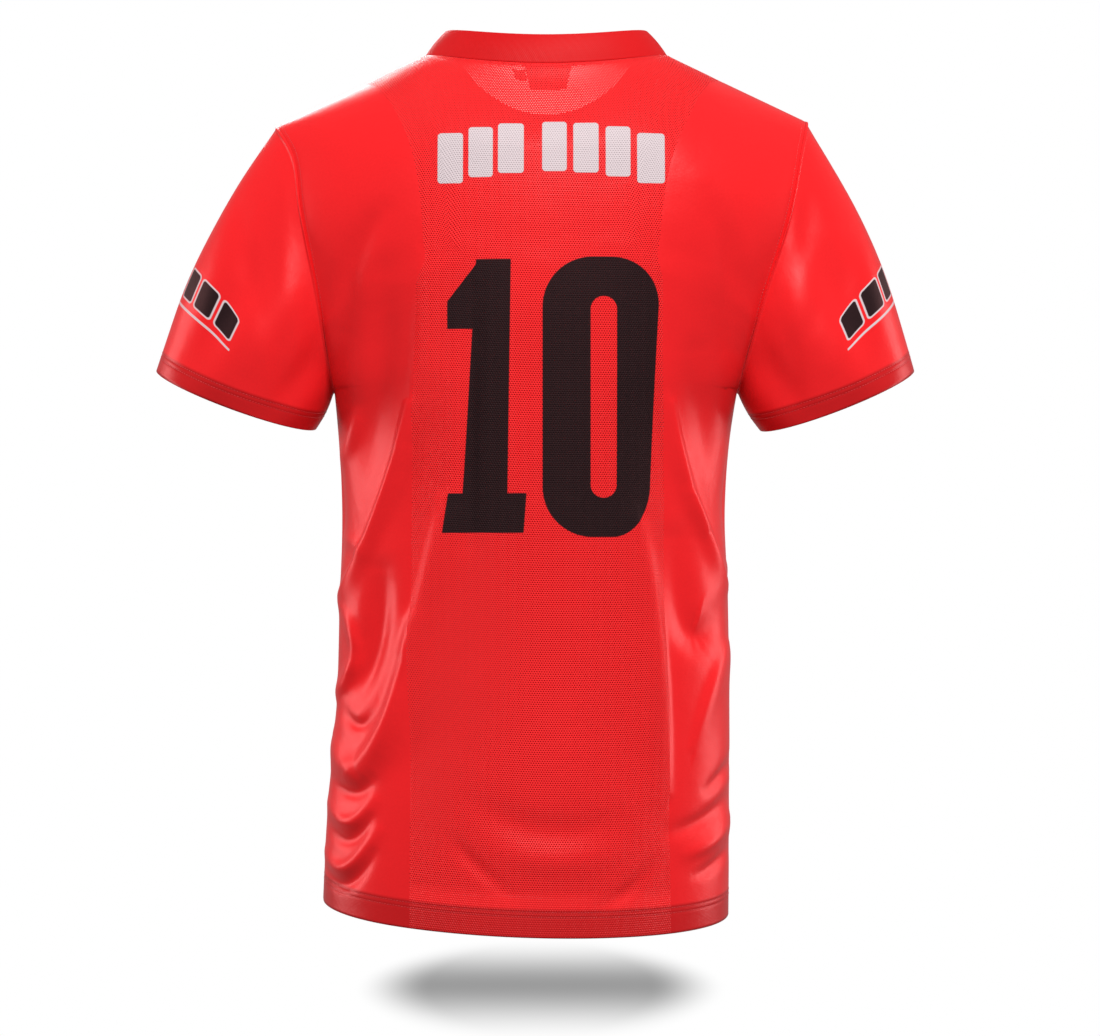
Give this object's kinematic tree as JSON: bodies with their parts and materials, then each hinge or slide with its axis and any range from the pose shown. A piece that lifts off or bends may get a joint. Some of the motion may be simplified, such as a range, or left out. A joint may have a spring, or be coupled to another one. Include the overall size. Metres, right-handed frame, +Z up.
{
  "type": "football jersey",
  "caption": "Short-sleeved crew-neck football jersey with a mesh back panel, filled out and open at the neck, hem, cuffs and armholes.",
  "frame": {"origin": "middle of the shoulder line, level with the points where the collar meets the shoulder seams, where the wearer holds the jersey up", "axes": "+Z up along the body from hem to neck, +Y the wearer's front, -X the wearer's left"},
  "size_m": [0.6285, 0.243, 0.7358],
  "materials": {
    "mesh": "red polyester eyelet mesh, lightly lustrous",
    "satin": "red polyester satin knit with a soft sheen",
    "rib": "red doubled knit band, fine vertical rib",
    "label": "dark woven label, blank"
  },
  "bodies": {
    "root": {"back_centre": "mesh", "back_side_left": "satin", "back_side_right": "satin", "front": "satin", "sleeve_left": "satin", "sleeve_right": "satin", "collar": "rib", "neck_label": "label", "size_tab": "label"}
  },
  "joints": []
}
